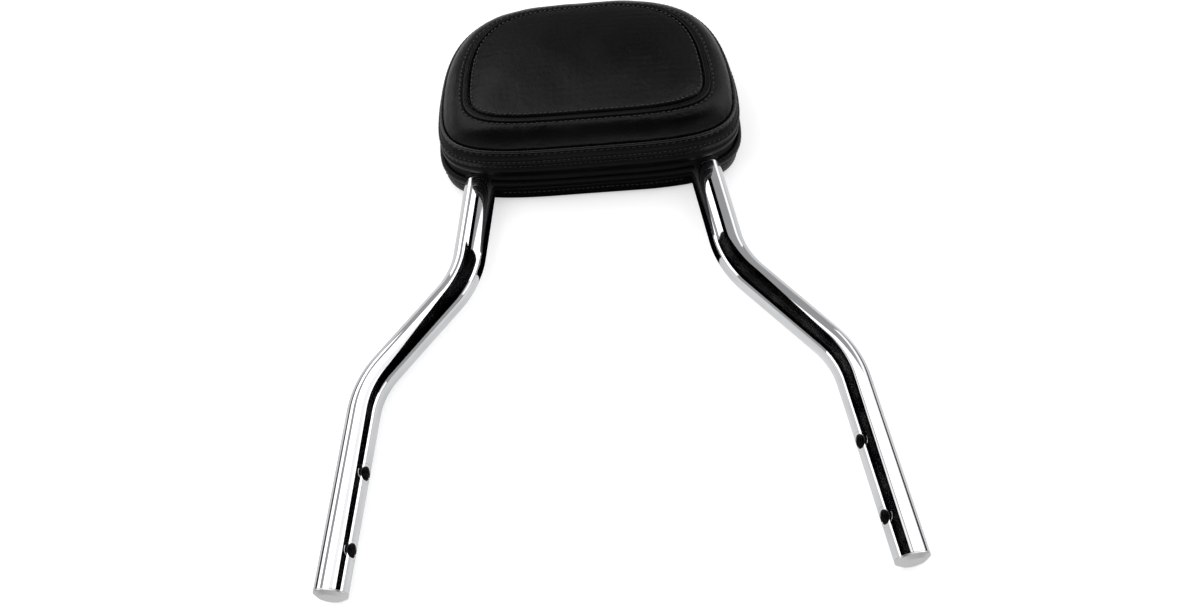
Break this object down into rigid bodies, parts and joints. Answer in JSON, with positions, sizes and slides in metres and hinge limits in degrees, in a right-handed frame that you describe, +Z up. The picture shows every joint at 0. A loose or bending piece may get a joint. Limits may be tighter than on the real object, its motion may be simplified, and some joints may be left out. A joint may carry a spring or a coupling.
{
  "type": "motorcycle backrest",
  "caption": "Motorcycle passenger backrest: a bent chrome tube with splayed legs, threaded side bushings and a crowned black leather pad on its hoop.",
  "frame": {"origin": "on the bench, at the middle of the bounding box, with the backrest lying face up", "axes": "+X across the width, +Y from the leg ends to the pad, +Z up out of the pad face"},
  "size_m": [0.3744, 0.417, 0.077],
  "materials": {
    "tube": "mirror bright",
    "cap": "satin",
    "bushing": "machined",
    "steel": "satin",
    "board": "raw",
    "foam": "open cell foam",
    "leather": "smooth grained, soft sheen"
  },
  "bodies": {
    "root": {"left_bar": "tube", "right_bar": "tube", "hoop_bar": "tube", "left_end_cap": "cap", "right_end_cap": "cap", "left_upper_bushing": "bushing", "left_lower_bushing": "bushing", "right_upper_bushing": "bushing", "right_lower_bushing": "bushing", "mounting_plate": "steel", "backing_board": "board", "pad_screws": "steel", "screw_washers": "steel", "tee_nuts": "steel", "foam_core": "foam", "rear_cover": "leather", "rear_binding": "leather", "left_tube_sleeve": "leather", "right_tube_sleeve": "leather", "boxing_band": "leather", "face_piping": "leather", "face_shell": "leather", "seam_strip": "leather", "face_panel": "leather"}
  },
  "joints": []
}
